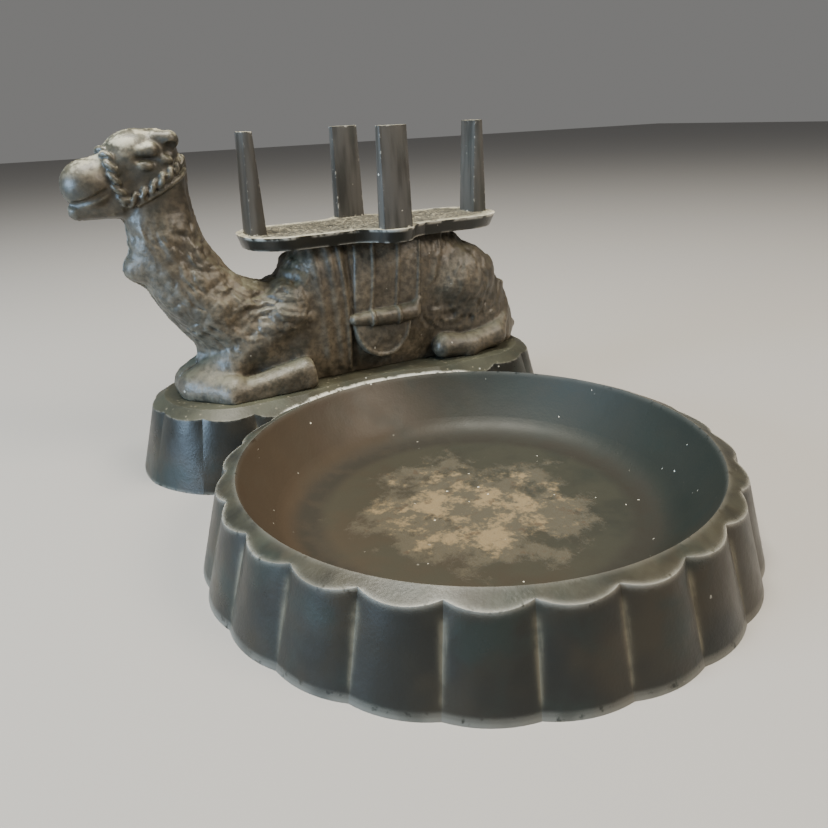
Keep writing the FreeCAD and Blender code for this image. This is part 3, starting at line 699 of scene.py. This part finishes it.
def camel_paint():
    f = Finish("camel_black_paint")
    point = f.add("ShaderNodeNewGeometry").outputs["Pointiness"]
    height = f.part(f.place, "Z")
    mottle = f.noise(0.0020, 5.0, 0.65, f.moved((0.2, 0.8, 0.5)))
    state = paint(f)
    # a dull film of dust in the coat, thinner towards the head
    film = f.times(f.ramp(height, 0.060, 0.090, 1.0, 0.55), f.ramp(mottle, 0.34, 0.66, 0.30, 0.9),
                   f.ramp(f.noise(0.014, 4.0, 0.6), 0.35, 0.62, 0.45, 1.0))
    state = lay(f, state, film, HAIR_DUST, 0.52)
    # painted shade: hollows and inner corners take a darker tone over the dust film
    painted_shade_hollows = f.math("MAXIMUM", f.ramp(point, 0.455, 0.492, 1.0, 0.0), f.edge(0.0042, False))
    state = lay(f, state, f.times(painted_shade_hollows, f.ramp(mottle, 0.3, 0.6, 0.8, 0.55)), SOOT_AND_SHADE, 0.75)
    state = lay(f, state, f.times(f.up(0.35, 0.9), f.ramp(f.noise(0.009, 4.0), 0.3, 0.65, 0.3, 0.8),
                                  f.ramp(mottle, 0.35, 0.6, 0.4, 1.0)), GREEN_DUST, 0.55)
    # painted highlight: the pale dust tone is laid along the raised ridges of hair, straps and folds
    painted_ridge_highlight = f.times(f.ramp(point, 0.505, 0.545), f.ramp(mottle, 0.42, 0.62, 0.1, 0.55))
    state = lay(f, state, painted_ridge_highlight, PALE_DUST_AND_HIGHLIGHT, 0.48)
    # cream patches on the upward faces at the top of the head: worn paint and painted highlight
    crown_wear_and_highlight = f.times(f.up(0.1, 0.8), f.ramp(height, 0.090, 0.100),
                    f.ramp(f.noise(0.004, 4.0), 0.46, 0.60))
    state = lay(f, state, f.times(crown_wear_and_highlight, 0.6), CREAM, 0.6)
    state = lay(f, state, chips(f, 0.016), BARE, 0.5)
    coarse = f.times(f.ramp(height, 0.070, 0.090, 1.0, 0.35), mottle, 2.4)
    return f.wrap_up(*state, f.math("ADD", fine_relief(f), coarse), 0.00010)


def tray_paint():
    f = Finish("tray_black_paint")
    state = paint(f)
    top = f.up(0.8, 0.95)
    sand = f.ramp(f.noise(0.0010, 3.0, 0.7), 0.50, 0.57)
    state = lay(f, state, f.times(top, 0.7), SOOT_AND_SHADE, 0.75)
    state = lay(f, state, f.times(top, sand, f.ramp(f.noise(0.009, 3.0), 0.3, 0.6, 0.45, 0.9)),
                SAND, 0.85)
    border = f.times(top, f.edge(0.0045), f.ramp(f.noise(0.003, 4.0), 0.36, 0.5))
    state = lay(f, state, f.times(border, 0.7), CREAM, 0.8)
    state = lay(f, state, f.times(f.edge(0.0025, False), top, f.ramp(f.noise(0.002), 0.35, 0.5)),
                CREAM, 0.8)
    state = lay(f, state, chips(f, 0.04), BARE, 0.5)
    state = lay(f, state, f.times(worn(f, 0.0012, 0.40, 0.58, 0.0040), 0.65), BARE, 0.5)
    height = f.math("ADD", fine_relief(f), f.times(top, sand, 2.5))
    return f.wrap_up(*state, height, 0.00010)


def post_paint():
    f = Finish("post_black_paint")
    state = paint(f)
    # a paler film in vertical streaks on the posts: dust and painted sheen
    film_and_sheen_streaks = f.noise(0.0028, 3.0, 0.5, f.moved((0, 0, 0), (1, 1, 0.12)))
    state = lay(f, state, f.ramp(film_and_sheen_streaks, 0.35, 0.65, 0.20, 0.65), POST_FILM_AND_SHEEN, 0.38)
    state = lay(f, state, f.times(chips(f, 0.05), 0.9), BARE, 0.5)
    top = f.up(0.7, 0.9)
    state = lay(f, state, f.times(top, f.ramp(f.noise(0.002, 3.0), 0.35, 0.5, 0.4, 1.0)), CREAM, 0.75)
    state = lay(f, state, worn(f, 0.0009, 0.58, 0.66, 0.0014), BARE, 0.45)
    return f.wrap_up(*state, fine_relief(f), 0.00008)


def screw_zinc():
    f = Finish("screw_zinc")
    f.shader.inputs["Metallic"].default_value = 1.0
    clouds = f.ramp(f.noise(0.0012, 3.0), 0.3, 0.7)
    colour = f.mix(clouds, (0.36, 0.36, 0.37, 1), (0.50, 0.50, 0.51, 1))
    colour = f.mix(f.edge(0.0006, False), colour, (0.10, 0.085, 0.07, 1))
    roughness = f.blend(clouds, 0.34, 0.52)
    return f.wrap_up(colour, roughness, f.noise(0.0004, 2.0), 0.00004)


def round_edges(thing, width):
    bevel = thing.modifiers.new("worn_edges", "BEVEL")
    bevel.width = width
    bevel.segments = 3
    bevel.limit_method = "ANGLE"
    bevel.angle_limit = math.radians(32)
    bevel.use_clamp_overlap = True


camel_coat = camel_paint()
post_coat = post_paint()
zinc = screw_zinc()
COATS = {"dish": (dish_paint(), 0.75), "plinth": (plinth_paint(), 0.50),
         "saddle_tray": (tray_paint(), 0.30), "post_neck_end": (post_coat, 0.55),
         "post_rump_end": (post_coat, 0.55), "post_near_side": (post_coat, 0.55),
         "post_far_side": (post_coat, 0.55), "camel_near_half": (camel_coat, None),
         "camel_far_half": (camel_coat, None), "camel_screws": (zinc, 0.15),
         "base_screws": (zinc, 0.15)}
for node, (material, width) in COATS.items():
    thing = bpy.data.objects[node]
    for place in range(len(thing.material_slots)):
        thing.material_slots[place].material = material
    if width:
        round_edges(thing, width * MM)

for half, seed, mirror in (("near", 20, False), ("far", 60, True)):
    hide = skin("camel_skin_" + half, camel_field(seed), mirror)
    hide.data.materials.append(camel_coat)
    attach(hide, "root")
    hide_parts("camel_%s_half" % half)

# ---- camera, floor and light ---------------------------------------------------------------
camera = bpy.data.objects.new("camera", bpy.data.cameras.new("camera"))
camera.data.sensor_width = 36
camera.data.angle = math.radians(58.25)
eye = ORIGIN + Vector((-93.6, -237.7, 106.1)) * MM
camera.matrix_world = (Matrix.Translation(eye) @ Matrix.Rotation(math.radians(-26.23), 4, "Z")
                       @ Matrix.Rotation(math.radians(90 - 22.04), 4, "X")
                       @ Matrix.Rotation(math.radians(-2.60), 4, "Z"))
bpy.context.scene.collection.objects.link(camera)
bpy.context.scene.camera = camera

floor_mesh = bpy.data.meshes.new("floor")
floor_mesh.from_pydata([(-3, -3, 0), (3, -3, 0), (3, 3, 0), (-3, 3, 0)], [], [(0, 1, 2, 3)])
floor = bpy.data.objects.new("floor", floor_mesh)
bpy.context.scene.collection.objects.link(floor)
pale = bpy.data.materials.new("floor_pale")
pale.use_nodes = True
pale.node_tree.nodes["Principled BSDF"].inputs["Base Color"].default_value = (0.34, 0.33, 0.32, 1)
pale.node_tree.nodes["Principled BSDF"].inputs["Roughness"].default_value = 0.9
floor_mesh.materials.append(pale)

world = bpy.data.worlds.new("studio")
world.use_nodes = True
world.node_tree.nodes["Background"].inputs["Color"].default_value = (0.88, 0.87, 0.85, 1)
world.node_tree.nodes["Background"].inputs["Strength"].default_value = 0.22
bpy.context.scene.world = world


def area_light(name, place, size, power, colour):
    lamp = bpy.data.lights.new(name, "AREA")
    lamp.shape = "RECTANGLE"
    lamp.size, lamp.size_y = size
    lamp.energy = power
    lamp.color = colour
    thing = bpy.data.objects.new(name, lamp)
    thing.location = place
    thing.rotation_euler = (DISH - Vector(place)).to_track_quat("-Z", "Y").to_euler()
    bpy.context.scene.collection.objects.link(thing)


area_light("window_left", (-0.85, -0.05, 0.24), (0.40, 0.30), 12, (0.50, 0.73, 1.0))
area_light("lamp_above", (-0.15, 0.02, 0.85), (0.32, 0.32), 15, (1.0, 0.95, 0.82))
area_light("lamp_right", (0.50, -0.60, 0.70), (0.45, 0.45), 9, (1.0, 0.87, 0.72))
